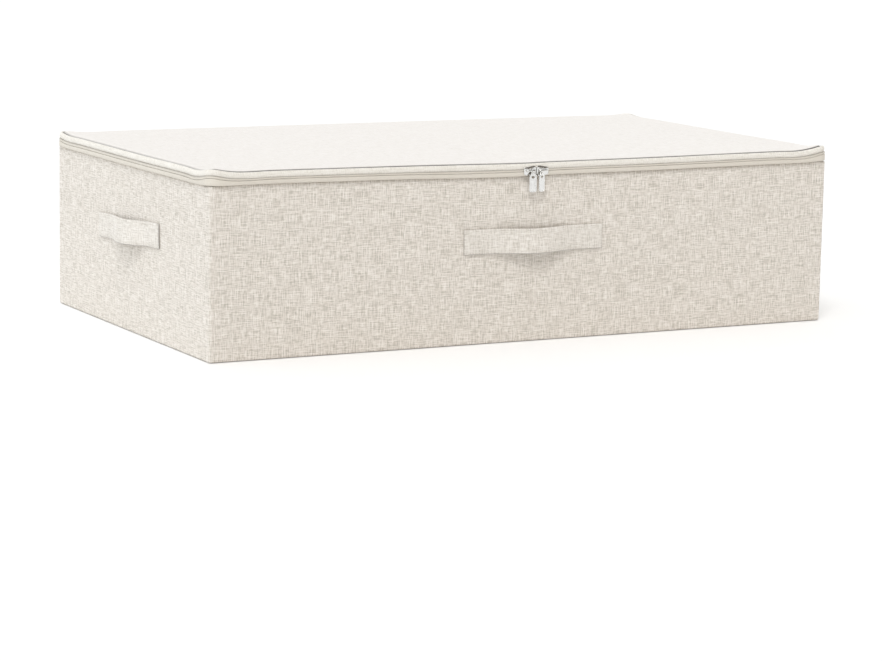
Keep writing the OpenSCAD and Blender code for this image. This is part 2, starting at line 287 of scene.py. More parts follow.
def panel(name, lo, hi, radii, step, top, material, rim=(), bottom=None, extra_x=(), flip=False, bend=6,
          shade_at=None):
    """A flat cloth or board from lo to hi. radii are for the corners (x0,y0), (x1,y0), (x1,y1), (x0,y1),
    or one number for all four. top(x, y) is its height and shade_at(x, y) its painted shade; rim is rows of
    (outward, height change, painted shade) turned over its edge; bottom closes it."""
    (x0, y0), (x1, y1) = lo, hi
    if not isinstance(radii, tuple):
        radii = (radii,) * 4
    r = max(radii)

    def lines(a, b, more):
        inner = [a + r, b - r] if r else [a, b]
        found = {a + r * k / bend for k in range(bend)} | {b - r * k / bend
                                                           for k in range(bend)} if r else set()
        return thin(found | set(steps(inner[0], inner[1], step)) | set(more))

    def end_of(value, low, high):
        return -1 if value - low < 1e-7 else 1 if high - value < 1e-7 else 0

    def join(last, row):
        """Faces between two closed rows of points round the edge."""
        m = len(row)
        return [[last[k], row[k], row[(k + 1) % m], last[(k + 1) % m]] for k in range(m)]

    xs, ys = lines(x0, x1, extra_x), lines(y0, y1, ())
    nx, ny = len(xs), len(ys)
    places = {(0, 0): radii[0], (1, 0): radii[1], (1, 1): radii[2], (0, 1): radii[3]}

    def spot(x, y):
        """The point after the corners are rounded, and its outward direction at the edge."""
        side = (int(x > (x0 + x1) / 2), int(y > (y0 + y1) / 2))
        rc = places[side]
        if rc > 0:
            cx, sx = (x1 - rc, 1) if side[0] else (x0 + rc, -1)
            cy, sy = (y1 - rc, 1) if side[1] else (y0 + rc, -1)
            a, b = (x - cx) * sx / rc, (y - cy) * sy / rc
            if a > 0 and b > 0:
                a2, b2 = a * math.sqrt(1 - b * b / 2), b * math.sqrt(1 - a * a / 2)
                n = Vector((a2 * sx, b2 * sy)).normalized()
                return cx + a2 * rc * sx, cy + b2 * rc * sy, n
        n = Vector((end_of(x, x0, x1), end_of(y, y0, y1)))
        return x, y, n.normalized() if n.length else n

    grid = [[spot(x, y) for y in ys] for x in xs]
    verts = [(p[0], p[1], top(p[0], p[1])) for col in grid for p in col]
    maps = [(p[0], p[1]) for col in grid for p in col]
    shade = [shade_at(x, y) if shade_at else 0.0 for x, y in maps]
    flat = [[i * ny + j, (i + 1) * ny + j, (i + 1) * ny + j + 1, i * ny + j + 1]
            for i in range(nx - 1) for j in range(ny - 1)]
    faces = list(flat)
    edge = [(i, 0) for i in range(nx)] + [(nx - 1, j) for j in range(1, ny)]
    edge += [(i, ny - 1) for i in range(nx - 2, -1, -1)] + [(0, j) for j in range(ny - 2, 0, -1)]
    last = [i * ny + j for i, j in edge]
    for out, dz, dark in rim:
        start = len(verts)
        for i, j in edge:
            x, y, n = grid[i][j]
            verts.append((x + n.x * out, y + n.y * out, top(x, y) + dz))
            maps.append((x + n.x * (out + abs(dz)), y + n.y * (out + abs(dz))))
            shade.append(dark)
        row = list(range(start, len(verts)))
        faces += join(last, row)
        last = row
    if bottom:
        start = len(verts)
        verts += [(p[0], p[1], bottom(p[0], p[1])) for col in grid for p in col]
        maps += [(p[0], p[1]) for col in grid for p in col]
        shade += [0.0] * (len(verts) - start)
        faces += [[start + a, start + d, start + c, start + b] for a, b, c, d in flat]
        faces += join(last, [start + i * ny + j for i, j in edge])
    if flip:
        faces = [f[::-1] for f in faces]
    return piece(name, verts, faces, [[maps[v] for v in f] for f in faces], material, shade)


def thicken(obj, depth):
    """Gives a single layer of cloth its thickness, on the side away from its face."""
    m = obj.modifiers.new("thickness", "SOLIDIFY")
    m.thickness, m.offset = depth, -1


def fit(obj, body, node):
    """Ties a piece to its body and hides the CAD node that it stands for."""
    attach(obj, body)
    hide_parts(node)


def fit_sheet(obj, depth, body, node):
    """Does the same for cloth stretched over the pieces under it, and gives it its thickness."""
    thicken(obj, depth)
    fit(obj, body, node)


# ---- materials


class Nodes:
    """The shader tree of a new material or world, written as expressions."""

    def __init__(self, name, kind="BSDF_PRINCIPLED", made_in=None):
        self.owner = (bpy.data.materials if made_in is None else made_in).new(name)
        self.owner.use_nodes = True
        self.tree = self.owner.node_tree
        self.shader = next(n for n in self.tree.nodes if n.type == kind)

    def add(self, kind, inputs=None, **settings):
        node = self.tree.nodes.new("ShaderNode" + kind)
        for key, value in settings.items():
            setattr(node, key, value)
        for key, value in (inputs or {}).items():
            self.put(node.inputs[key], value)
        return node

    def put(self, socket, value):
        if isinstance(value, bpy.types.NodeSocket):
            self.tree.links.new(value, socket)
        else:
            socket.default_value = value

    def math(self, operation, a, b=0.0, c=0.0):
        return self.add("Math", {0: a, 1: b, 2: c}, operation=operation).outputs[0]

    def sum(self, *parts, base=0.0):
        """The base plus each value times its weight."""
        for value, weight in reversed(parts):
            base = self.math("MULTIPLY_ADD", value, weight, base)
        return base

    def cloth_map(self):
        return self.add("UVMap", uv_map="Cloth").outputs[0]

    def object_map(self):
        return self.add("TexCoord").outputs["Object"]

    def mapped(self, source, scale, turn=0.0):
        return self.add("Mapping", {"Vector": source, "Scale": scale, "Rotation": (0, 0, turn)}).outputs[0]

    def split(self, source, scale, turn=0.0):
        return self.add("SeparateXYZ", {0: self.mapped(source, scale, turn)}).outputs

    def checks(self, source, pitch, turn=0.0):
        """Sine waves both ways, multiplied; the pitch is half a wave."""
        both = self.split(source, (math.pi / pitch,) * 2 + (1,), turn)
        return self.math("MULTIPLY", self.math("SINE", both[0]), self.math("SINE", both[1]))

    def noise(self, vector, detail=2.0, rough=0.5, scale=1.0):
        settings = {"Vector": vector, "Scale": scale, "Detail": detail, "Roughness": rough}
        return self.add("TexNoise", settings).outputs[0]

    def spread(self, value, low, high, to_low=0.0, to_high=1.0):
        ends = {"From Min": low, "From Max": high, "To Min": to_low, "To Max": to_high}
        return self.add("MapRange", {"Value": value, **ends}).outputs[0]

    def colour(self, share, stops):
        ramp = self.add("ValToRGB", {"Fac": share})
        while len(ramp.color_ramp.elements) < len(stops):
            ramp.color_ramp.elements.new(0.5)
        for e, (at, rgb) in zip(ramp.color_ramp.elements, stops):
            e.position, e.color = at, (*rgb, 1)
        return ramp.outputs[0]

    def darker_by_painted_shade(self, colour, depth):
        # Painted shade: the colour is darkened by each point's painted shade value, where shade falls at
        # seams, in grooves and under edges.
        painted_shade = self.add("Attribute", attribute_name="Seam").outputs["Fac"]
        inputs = {0: colour, 3: self.sum((painted_shade, -depth), base=1.0)}
        return self.add("VectorMath", inputs, operation="SCALE").outputs[0]

    def bump(self, height, distance, strength=1.0):
        self.put(self.shader.inputs["Normal"],
                 self.add("Bump",
                          {"Height": height, "Distance": distance, "Strength": strength}).outputs[0])

    def set(self, **values):
        for key, value in values.items():
            self.put(self.shader.inputs[key.replace("_", " ")], value)


def linen(name, dark, middle, light, slub=1.0, yarn=1.0, relief=1.0, painted_shade_depth=0.35):
    """Plain-weave linen-look cloth: uneven yarns both ways, with painted shade darkening it where it is sewn
    in and tucks under other parts.
    """
    k = Nodes(name)
    uv = k.cloth_map()
    weft = k.noise(k.mapped(uv, (150 / yarn, 1100 / yarn, 1)), 1.0, 0.6)
    warp = k.noise(k.mapped(uv, (1100 / yarn, 150 / yarn, 1)), 1.0, 0.6)
    weft_long = k.noise(k.mapped(uv, (55, 1250, 7)), 1.0)
    warp_long = k.noise(k.mapped(uv, (1250, 55, 3)), 1.0)
    yarns = k.math("MAXIMUM", k.spread(weft, 0.50, 0.76), k.spread(warp, 0.50, 0.76))
    gaps = k.math("MAXIMUM", k.spread(weft, 0.50, 0.26), k.spread(warp, 0.50, 0.26))
    mix = k.sum((yarns, 0.5), (gaps, -0.4))
    long = k.math("ADD", k.math("ADD", weft_long, warp_long), -1.0)
    cloud = k.math("ADD", k.noise(k.mapped(uv, (11, 11, 1)), 3.0, 0.6), -0.5)
    share = k.sum((cloud, 0.07), (long, 1.25 * slub), (mix, 0.8 * slub), base=0.5)
    colour = k.darker_by_painted_shade(k.colour(share, [(0.12, dark), (0.5, middle), (0.9, light)]), painted_shade_depth)
    over = k.checks(uv, 0.62 * MM)
    k.bump(k.sum((long, 0.6), (over, 0.25), (mix, 1.6 * slub)), 0.16 * MM * relief, 0.8)
    k.set(Base_Color=colour, Roughness=0.88, Specular_IOR_Level=0.22, Sheen_Weight=0.15,
          Sheen_Roughness=0.45)
    return k.owner


def lining_cloth(name, low, high):
    """Pressed non-woven lining with small embossed dots."""
    k = Nodes(name)
    uv = k.cloth_map()
    dots = k.math("POWER", k.math("ABSOLUTE", k.checks(uv, 1.1 * MM, math.radians(45))), 3.0)
    fibres = k.noise(k.mapped(uv, (900, 260, 1)), 4.0, 0.6)
    mottle = k.noise(k.mapped(uv, (60, 60, 1)), 4.0, 0.6)
    share = k.sum((dots, -0.35), (fibres, 0.6), (mottle, 0.55))
    # painted shade darkens the lining where it tucks under at its edges
    colour = k.darker_by_painted_shade(k.colour(share, [(0.1, low), (0.75, high)]), 0.3)
    k.bump(k.sum((dots, -0.8), (fibres, 0.5)), 0.1 * MM, 0.8)
    k.set(Base_Color=colour, Roughness=0.82, Specular_IOR_Level=0.3, Sheen_Weight=0.08, Sheen_Roughness=0.5)
    return k.owner


def tape_cloth(name, low, high):
    """Woven zip tape: fine ribs along it and a herringbone across them."""
    k = Nodes(name)
    uv = k.cloth_map()
    rib = k.split(uv, (2 * math.pi / (0.8 * MM), 2 * math.pi / (0.55 * MM), 1))
    slant = k.math("ADD", rib[0], k.math("PINGPONG", rib[1], math.pi))
    weave = k.math("SINE", slant)
    fleck = k.noise(k.mapped(uv, (260, 900, 1)), 3.0, 0.6)
    cloud = k.noise(k.mapped(uv, (30, 60, 1)), 2.0)
    share = k.sum((weave, 0.1), (fleck, 0.6), (cloud, 0.4))
    # painted shade darkens the tape in its grooves and along the zip line
    colour = k.darker_by_painted_shade(k.colour(share, [(0.2, low), (0.8, high)]), 0.4)
    k.bump(k.sum((weave, 0.4), base=fleck), 0.1 * MM, 0.7)
    k.set(Base_Color=colour, Roughness=0.8, Specular_IOR_Level=0.3, Sheen_Weight=0.12, Sheen_Roughness=0.45)
    return k.owner


def solid_plastic(name, low, high, rough):
    k = Nodes(name)
    place = k.object_map()
    share = k.noise(k.mapped(place, (300, 300, 300)), 3.0)
    k.bump(k.noise(k.mapped(place, (2500, 2500, 2500)), 2.0), 0.03 * MM, 0.5)
    k.set(Base_Color=k.colour(share, [(0.3, low), (0.7, high)]), Roughness=rough)
    return k.owner


def paper_board(name):
    """Grey-brown pressed board with fibres and specks."""
    k = Nodes(name)
    place = k.object_map()
    fibres = k.noise(k.mapped(place, (700, 220, 500)), 5.0, 0.65)
    specks = k.noise(k.mapped(place, (1600, 1600, 1600)), 2.0, 0.5)
    cloud = k.noise(k.mapped(place, (9, 9, 9)), 3.0)
    share = k.sum((fibres, 0.6), (specks, 0.25), (cloud, 0.25))
    k.bump(fibres, 0.12 * MM, 0.6)
    stops = [(0.3, (0.26, 0.22, 0.17)), (0.55, (0.40, 0.35, 0.28)), (0.8, (0.52, 0.47, 0.39))]
    k.set(Base_Color=k.colour(share, stops), Roughness=0.9)
    return k.owner


def chrome(name):
    """Plated zinc: bright, with hairline rub marks and duller wear."""
    k = Nodes(name)
    place = k.object_map()
    rub = k.noise(k.mapped(place, (600, 600, 5200)), 3.0, 0.6)
    cloud = k.noise(k.mapped(place, (420, 420, 420)), 3.0, 0.6)
    k.bump(rub, 0.012 * MM, 0.5)
    k.set(
        Base_Color=k.colour(cloud, [(0.3, (0.68, 0.675, 0.66)), (0.7, (0.88, 0.875, 0.86))]),
        Metallic=1.0,
        Roughness=k.spread(k.math("ADD", rub, cloud), 0.7, 1.3, 0.07, 0.20),
    )
    return k.owner


def thread_material(name, low, high):
    k = Nodes(name)
    uv = k.cloth_map()
    twist = k.split(uv, (2 * math.pi / (0.45 * MM), 2 * math.pi, 1))
    ply = k.math("SINE", k.math("ADD", twist[0], twist[1]))
    k.bump(ply, 0.05 * MM, 0.8)
    colour = k.colour(k.sum((ply, 0.3), base=0.5), [(0.0, low), (1.0, high)])
    k.set(Base_Color=colour, Roughness=0.6, Sheen_Weight=0.2, Sheen_Roughness=0.4)
    return k.owner


linen_wall = linen("linen_wall", (0.58, 0.54, 0.475), (0.80, 0.744, 0.678), (0.965, 0.922, 0.868))
linen_lid = linen("linen_lid", (0.82, 0.785, 0.74), (0.915, 0.876, 0.843), (0.98, 0.95, 0.92), slub=0.75,
                  relief=0.5, painted_shade_depth=0.85)
linen_piping = linen("linen_piping", (0.76, 0.72, 0.65), (0.90, 0.865, 0.80), (0.97, 0.94, 0.89), slub=0.8,
                     yarn=0.8, relief=0.7, painted_shade_depth=0.6)
linen_strap = linen("linen_strap", (0.64, 0.60, 0.54), (0.83, 0.785, 0.725), (0.965, 0.93, 0.88),
                    relief=1.0, painted_shade_depth=0.5)
tape_mat = tape_cloth("zip_tape_cloth", (0.72, 0.67, 0.59), (0.85, 0.80, 0.72))
lining_mat = lining_cloth("lining_cloth", (0.60, 0.57, 0.52), (0.80, 0.775, 0.73))
coil_mat = solid_plastic("zip_coil_nylon", (0.74, 0.70, 0.63), (0.82, 0.79, 0.72), 0.38)
board_mat = paper_board("board")
metal_mat = chrome("zip_chrome")
thread_mat = thread_material("sewing_thread", (0.74, 0.70, 0.63), (0.93, 0.90, 0.84))


# ---- wall cloths


CREASE = [-6, -3, -1.8, -1.2, -0.6, 0, 0.6, 1.2, 1.8, 3, 6]
wall_profile = scaled([(-4.4, 0.25), (-2.6, 0.3), (-1.5, 0.45), (-0.7, 0.85), (-0.22, 1.6), (-0.04, 2.6),
                       (0, 4)])
wall_profile += [(0.0, z) for z in steps(0.006, WALL_TOP - 4 * MM, 0.0055)]
wall_profile += scaled([(0, -2.2), (-0.1, -1.1), (-0.5, -0.4), (-1.4, -0.12), (-3, -0.08)], WALL_TOP)
# painted shade along the wall's bottom edge and just under the zip band
wall_painted_shade = [0.6 if z < 0.001 else 0.15 * ease(WALL_TOP - 3.5 * MM, WALL_TOP - 0.5 * MM, z) for _,
             z in wall_profile]


def wall_shape(s, x, y, out, z, j):
    """Cloth pulled over a board: slow unevenness outward, and an upright crease where two boards meet."""
    away = min(abs(s - c) for c in wall_ring.corners)
    still = ease(0.002, 0.03, z) * ease(0.0, 0.03, WALL_TOP - z) * ease(0.006, 0.03, away)
    swell = 0.28 + 0.34 * wave(s * 8, z * 11, 3.1) + 0.13 * wave(s * 27, z * 20, 8.4)
    fold = 0.0
    if abs(y) > WALL_HY - 0.01:
        deep = 0.55 * ease(0.003, 0.02, z) * (1 - 0.45 * ease(0.07, 0.12, z)) * (1 - ease(0.150, 0.164, z))
        fold = 0.16 * deep * bell(abs(x) - 4 * MM, 2.4 * MM)
        fold = -deep * bell(x + 0.3 * MM * wave(z * 60, 0, 1.7), 1.1 * MM) + fold
    return out + (max(0.0, swell) * still + fold) * MM, settle_wall(x, y, z)


def sides(ring):
    """Each side's name, where it starts and ends on the ring, and the board that its cloth rests on."""
    back_left, front_left, front_right, back_right = ring.corners
    return [
        ("front", front_left, front_right, "front_board_left"),
        ("left", back_left, front_left, "left_board"),
        ("right", front_right, back_right, "right_board"),
        ("back", back_right, back_left + ring.length, "back_board_left"),
    ]


def wall_stations(ring, start, end, step):
    """Stations along a wall; the back wall runs over the ring's start."""
    extra = [ring.front(x * MM) for x in CREASE]
    if end <= ring.length:
        return ring.stations(start, end, step, extra=extra)
    crease = [ring.length + x * MM for x in CREASE]
    first = ring.stations(start, ring.length, step)
    second = [ring.length + s for s in ring.stations(0, end - ring.length, step)]
    return thin(first[:-1] + crease + second)


for side, start, end, under in sides(wall_ring):
    cloth = sweep("wall_cloth_" + side, wall_ring, wall_stations(wall_ring, start, end, 0.0055),
                  wall_profile, wall_shape, linen_wall, painted_shade=wall_painted_shade)
    fit_sheet(cloth, 0.7 * MM, "box", side + "_cover")

# ---- floor cloth, linings, insert


def bottom_height(x, y):
    return (0.18 + 0.10 * wave(x * 14, y * 14, 2.2)) * MM


bottom_half = (WALL_HX - 3 * MM, WALL_HY - 3 * MM)
# the rim rows' last values are painted shade where the cloth turns under at its edge
bottom_cloth = panel("bottom_cloth", (-bottom_half[0], -bottom_half[1]), bottom_half, 3 * MM, 0.011,
                     bottom_height,
                     linen_wall, rim=[(0.5 * MM, 0.15 * MM, 0.5), (0.7 * MM, 0.5 * MM, 0.8)], flip=True,
                     bend=3)
fit_sheet(bottom_cloth, 0.5 * MM, "box", "bottom_panel")

lining_profile = scaled([(-3.0, 1.62), (-1.2, 1.66), (-0.3, 2.1), (0, 3.2)])
lining_profile += [(0.0, z) for z in steps(0.006, WALL_TOP - 4 * MM, 0.008)]
lining_profile += scaled([(0.05, -2), (0.15, -1), (0.5, -0.35), (1.4, -0.12)], WALL_TOP)
# painted shade at the lining's bottom edge and towards its top edge
lining_painted_shade = [0.8 if z < 0.002 else 0.3 * ease(WALL_TOP - 3 * MM, WALL_TOP, z) for _, z in lining_profile]


def lining_shape(s, x, y, out, z, j):
    away = min(abs(s % lining_ring.length - c) for c in lining_ring.corners)
    still = ease(0.004, 0.03, z) * ease(0.0, 0.02, WALL_TOP - z) * ease(0.004, 0.03, away)
    swell = max(0.0, 0.3 + 0.45 * wave(s * 10, z * 9, 5.5) + 0.2 * wave(s * 40, z * 18, 9.1))
    fold = 0.35 * bell(x, 1.6 * MM) * ease(0.003, 0.02, z) if abs(y) > LINING_HY - 0.01 else 0.0
    return out - (swell * still - fold) * MM, settle_wall(x, y, z)


for side, start, end, under in sides(lining_ring):
    cloth = sweep("lining_cloth_" + side, lining_ring, wall_stations(lining_ring, start, end, 0.008),
                  lining_profile, lining_shape, lining_mat, painted_shade=lining_painted_shade, flip=True)
    fit_sheet(cloth, 0.45 * MM, "box", side + "_lining")


def floor_lining_height(x, y):
    return FLOOR_CLOTH + (0.6 + 0.05 * wave(x * 20, y * 20, 4.4)) * MM


floor_half = (LINING_HX - 2 * MM, LINING_HY - 2 * MM)
# the rim rows' last values are painted shade where the lining turns down at its edge
floor_lining = panel("bottom_lining_cloth", (-floor_half[0], -floor_half[1]), floor_half, 2 * MM, 0.012,
                     floor_lining_height, lining_mat,
                     rim=[(1 * MM, -0.02 * MM, 0.5), (1.6 * MM, -0.2 * MM, 1.0)], bend=2)
fit_sheet(floor_lining, 0.4 * MM, "box", "bottom_lining")

# insert: two boards sewn into a cover with a fold between them
ins_lo, ins_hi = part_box("insert_cloth_top")
ins_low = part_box("insert_cloth_bottom")[0].z


def insert_top(x, y):
    """Cloth over two boards, with a channel sewn between them."""
    edge = min(ins_hi.x - abs(x), ins_hi.y - abs(y))
    crown = 0.25 * ease(0.004, 0.05, edge) * ease(0.004, 0.05, abs(x)) + 0.12 * wave(x * 16, y * 16, 7.7)
    drop = 1.3 * bell(x, 1.3 * MM) + 1.0 * (1 - ease(0.0, 0.006, edge))
    return ins_hi.z + (crown - drop) * MM


def insert_under(x, y):
    return ins_low + (0.15 + 0.1 * wave(x * 16, y * 16, 2.9) + 0.5 * bell(x, 1.3 * MM)) * MM


insert_extra = [x * MM for x in CREASE]
# the rim rows' last values are painted shade where the cover turns over its edges
top_cover = panel("insert_cover_top", ins_lo.xy, ins_hi.xy, 6 * MM, 0.010, insert_top, lining_mat,
                  extra_x=insert_extra,
                  rim=[(0.25 * MM, -0.3 * MM, 0.1), (0.3 * MM, -0.8 * MM, 0.4),
                       (0.1 * MM, -1.25 * MM, 0.8)])
fit_sheet(top_cover, 0.4 * MM, "base_insert", "insert_cloth_top")
under_cover = panel("insert_cover_under", ins_lo.xy, ins_hi.xy, 6 * MM, 0.012, insert_under, lining_mat,
                    rim=[(0.2 * MM, 0.2 * MM, 0.3), (0.15 * MM, 0.45 * MM, 0.8)], extra_x=insert_extra,
                    flip=True)
fit_sheet(under_cover, 0.4 * MM, "base_insert", "insert_cloth_bottom")


# ---- boards that follow the sag


def board(name, node, body, radii, bend_z, step=0.02):
    """A board with eased edges, bent as the cloth over it hangs."""
    lo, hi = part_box(node)
    if hi.z - lo.z < 10 * MM:
        obj = panel(name, lo.xy, hi.xy, radii, step, lambda x, y: bend_z(x, y, hi.z), board_mat,
                    rim=[(0.0, -0.3 * MM, 0.0)], bottom=lambda x, y: bend_z(x, y, lo.z))
    else:
        obj = panel(name, lo.xz, hi.xz, radii, step, lambda x, y: 0.0, board_mat, bottom=lambda x,
                    y: lo.y - hi.y)
        for v in obj.data.vertices:
            x, z, depth = v.co
            v.co = (x, lo.y - depth, bend_z(x, lo.y, z))
        obj.data.update()
    fit(obj, body, node)


board("lid_stiffener_left", "lid_board_left", "lid", (LID_R, 0, 0, LID_R), settle)
board("lid_stiffener_right", "lid_board_right", "lid", (0, LID_R, LID_R, 0), settle)
board("front_stiffener_left", "front_board_left", "box", 0, settle_wall)
board("front_stiffener_right", "front_board_right", "box", 0, settle_wall)
for node in ["back_board_left", "back_board_right", "left_board", "right_board", "insert_board_left",
             "insert_board_right"]:
    materials = frame["nodes"][node].data.materials
    if not materials:
        materials.append(board_mat)
    for i in range(len(materials)):
        materials[i] = board_mat

# ---- zip tapes, coils and hinge cloth

zip_start, zip_end = HINGE_HX, band_ring.length - HINGE_HX
band_stations = band_ring.stations(zip_start, zip_end, 0.006, bend=10,
                                   extra=[band_ring.front(x * MM) for x in (-12, -6, 0, 6, 12)])


def band_shape(s, x, y, out, z, j):
    """The band bows a little in and out between its seams and follows the sag."""
    puff = 0.22 * wave(s * 16, z * 40, 6.6) + 0.10 * wave(s * 60, z * 90, 1.2)
    loose = 1.0 if out > -0.6 * MM else 0.2
    rise = 0.15 * wave(s * 13, 0.5, 2.5)
    return out + (puff * loose + 0.5 * pinch(x, y) * loose) * MM, settle(x, y, z) + rise * MM


lower_tape_profile = [(0.0, 0.15), (0.1, 0.6), (0.25, 1.9), (0.12, 3.5), (-0.05, 4.15), (-0.4, 4.42),
                      (-0.85, 4.1),
                      (-0.95, 1.6), (-1.1, 0.75), (-3, 0.6), (-6.4, 0.6), (-6.4, 0.05), (-3, 0.0),
                      (-1, -0.02)]
lower_tape_profile = scaled(lower_tape_profile, BAND_LOW)
# painted shade in the tapes' grooves, along the zip line and at their edges
lower_tape_painted_shade = [0.35, 0.1, 0, 0, 0.05, 0.25, 0.5, 0, 0, 0, 0.4, 0.4, 0, 0.4]
upper_tape_profile = [(-0.4, 4.42), (-0.05, 4.15), (0.12, 3.6), (0.12, 2.9), (0.0, 2.3), (-0.45, 1.75),
                      (-1.3, 1.3), (-4.4, 0.0),
                      (-9, 0.0), (-9, 0.55), (-4.4, 0.6), (-1.7, 1.9), (-1.1, 2.6), (-0.85, 4.1)]
upper_tape_profile = [(o * MM, BAND_HIGH - z * MM) for o, z in upper_tape_profile]
upper_tape_painted_shade = [0.2, 0.05, 0, 0, 0.5, 1, 1, 0, 0.4, 0.4, 0, 0, 0, 0.6]
for name, node, body, profile, painted_shade, width, under in [
    ("zip_tape_lower_cloth", "zip_tape_lower", "box", lower_tape_profile, lower_tape_painted_shade, 0.0105,
     "wall_cloth_front"),
    ("zip_tape_upper_cloth", "zip_tape_upper", "lid", upper_tape_profile, upper_tape_painted_shade, 0.013,
     "lid_piping_cord"),
]:
    tape = sweep(name, band_ring, band_stations, profile, band_shape, tape_mat, closed=True, painted_shade=painted_shade)
    fit(tape, body, node)


def coil(name, node, body, side):
    """A row of nylon coil turns on the tape's inner face. side is 1 for the lower half, -1 for the upper."""
    pitch, thick = 1.5 * MM, 0.3 * MM
    path = [(-1.15, 2.35), (-1.2, 0.85), (-1.6, -0.05), (-2.05, 0.85), (-2.1, 2.35)]
    verts, faces, uvs = [], [], []
    n = int((zip_end - zip_start - 0.004) / pitch)
    for t in range(n):
        s = zip_start + 0.002 + (t + (0.5 if side < 0 else 0.0)) * pitch
        p, normal = band_ring.at(s)
        along = Vector((-normal.y, normal.x, 0))
        rings = []
        for k, (o, z) in enumerate(path):
            height = settle(p.x, p.y, ZIP_Z - side * z * MM)
            centre = Vector((p.x + normal.x * o * MM, p.y + normal.y * o * MM, height))
            before, after = path[max(0, k - 1)], path[min(4, k + 1)]
            d = Vector((after[0] - before[0], -side * (after[1] - before[1])))
            d.normalize()
            across = Vector((normal.x * d.y, normal.y * d.y, -d.x))
            rings.append([centre + (along * math.cos(a) + across * math.sin(a)) * thick
                          for a in (0.785, 2.356, 3.927, 5.498)])
        base = len(verts)
        verts += [v for ring in rings for v in ring]
        for k in range(4):
            for m in range(4):
                a, b = base + k * 4 + m, base + k * 4 + (m + 1) % 4
                faces.append([a, a + 4, b + 4, b])
        faces += [[base + 3, base + 2, base + 1, base], [base + 16 + m for m in range(4)]]
        uvs += [[(0, 0)] * 4] * 18
    fit(piece(name, verts, faces, uvs, coil_mat), body, node)


coil("zip_teeth_lower", "zip_coil_lower", "box", 1)
coil("zip_teeth_upper", "zip_coil_upper", "lid", -1)

# one strip of cloth is the lid's hinge; it is sewn to the back wall below and to the lid above
hinge_profile = [(-6.0, 0.32), (-3.0, 0.3), (-1.2, 0.25), (-0.4, 0.5), (-0.05, 1.1), (0.12, 2.0),
                 (0.25, 3.0), (0.35, 4.0), (0.4, 4.5),
                 (0.35, 5.0), (0.25, 6.0), (0.12, 7.0), (-0.05, 7.9), (-0.4, 8.5), (-1.2, 8.75),
                 (-3.0, 8.7), (-8.6, 8.68)]
hinge_profile = scaled(hinge_profile, BAND_LOW)
hinge_rows = [band_ring.length - HINGE_HX + 2 * HINGE_HX * k / 110 for k in range(111)]


def hinge_shape(s, x, y, out, z, j):
    loose = 1.0 if -0.0007 < out else 0.0
    return out + loose * (0.15 * wave(s * 25, z * 60, 3.8) - 0.1) * MM, z


# painted shade where the hinge cloth folds at its two sewn edges
hinge = sweep("hinge_cloth", band_ring, hinge_rows, hinge_profile, hinge_shape, linen_wall,
              painted_shade=[0, 0, 0, 0.6, 0.3, 0, 0, 0, 0, 0, 0, 0, 0.3, 0.6, 0, 0, 0])
thicken(hinge, 0.55 * MM)
bpy.context.view_layer.objects.active = hinge
hinge.select_set(True)
bpy.ops.object.modifier_apply(modifier="thickness")
hinge.select_set(False)
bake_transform(hinge)
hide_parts("hinge_strip_lower", "hinge_strip_upper")

# ---- lid: piping, cloth, lining


def piping_shape(s, x, y, out, z, j):
    """Cloth rolled round a cord: slight slanting wrinkles, tighter ones on the corners."""
    around = 2 * math.pi * j / len(piping_profile)
    crinkle = 0.09 * wave(s * 160 + 1.2 * around, math.sin(around) * 2, 4.0) + 0.06 * wave(s * 45, around,
                                                                                           9.5)
    radial = 1 + crinkle * (1 + 1.2 * pinch(x, y)) / (PIPING_R / MM)
    o2 = -PIPING_R + (out + PIPING_R) * radial
    z2 = PIPING_Z + (z - PIPING_Z) * radial
    z3 = settle(x, y, BAND_HIGH) - BAND_HIGH + z2
    return o2 + 0.12 * wave(s * 14, 1.0, 6.1) * MM, z3 + 0.12 * wave(s * 13, 0.5, 2.5) * MM


piping_turns = [2 * math.pi * k / 18 for k in range(18)]
piping_profile = [(-PIPING_R + PIPING_R * math.cos(a), PIPING_Z + PIPING_TALL * math.sin(a))
                  for a in piping_turns]
# painted shade on the piping's inner side and underside, in the groove against the lid and the tape
piping_painted_shade = [0, 0, 0, 0, 0, 0.1, 0.5, 0.9, 1, 1, 1, 0.8, 0.8, 0.75, 0.6, 0.35, 0.1, 0]
piping_stations = band_ring.stations(0, band_ring.length, 0.0035, bend=16)[:-1]
piping = sweep("lid_piping_cord", band_ring, piping_stations, piping_profile, piping_shape, linen_piping,
               closed=True, whole=True, painted_shade=piping_painted_shade)
fit(piping, "lid", "lid_piping")


def lid_height(x, y):
    """Cloth over the two lid boards: flat, with a slow unevenness, and a faint line where the boards meet."""
    edge = inset_of(x, y, LID_HX, LID_HY, LID_R)
    rim = min(1.0, max(0.0, edge) / (4.5 * MM))
    crown = 2.3 * math.sqrt(1 - (1 - rim) ** 2) + 0.5 * ease(0.006, 0.08, edge)
    slow = 0.45 * wave(x * 6, y * 7, 5.2) * ease(0.0, 0.05, edge)
    quick = 0.10 * wave(x * 24, y * 24, 1.9) * ease(0.0, 0.02, edge)
    line = -0.25 * bell(x, 2.2 * MM) * ease(0.01, 0.05, edge)
    return settle(x, y, LID_HIGH) + (crown + slow + quick + line) * MM


def lid_shade(x, y):
    """Painted shade: the lid's edge is darker where it goes under the piping, most of all in front."""
    near = 1 - ease(0.4 * MM, 2.4 * MM, inset_of(x, y, LID_HX, LID_HY, LID_R))
    return near * (1.0 if y < -LID_HY + 3 * MM else 0.4)


lid_half = (LID_HX - 0.3 * MM, LID_HY - 0.3 * MM)
